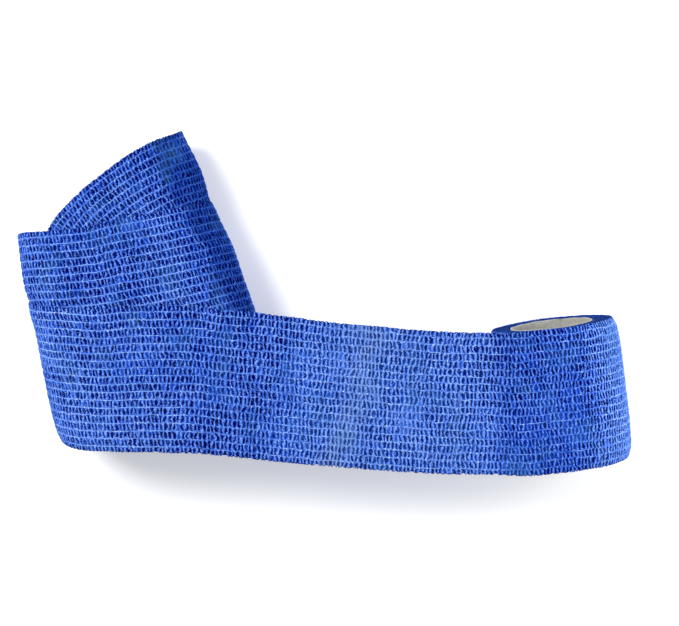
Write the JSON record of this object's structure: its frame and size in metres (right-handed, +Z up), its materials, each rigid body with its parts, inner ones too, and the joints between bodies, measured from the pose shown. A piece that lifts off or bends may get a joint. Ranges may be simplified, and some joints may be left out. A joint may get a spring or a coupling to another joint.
{
  "type": "partly unwound cohesive bandage roll",
  "caption": "Blue crinkled cohesive bandage: one band wound on a paper tube, drawn out as a flat strip and wrapped in overlapping turns around an open hand-sized space.",
  "frame": {"origin": "under the middle of the bounding box, on the surface the object lies on", "axes": "+X along the strip from the wrapped end to the roll; +Y along the hand-sized space towards its finger end; +Z up from the surface"},
  "size_m": [0.2211, 0.1223, 0.0478],
  "materials": {
    "cloth": "matte, crinkled elastic non-woven",
    "tube": "matte uncoated paper"
  },
  "bodies": {
    "root": {"bandage": "cloth", "core": "tube"}
  },
  "joints": []
}
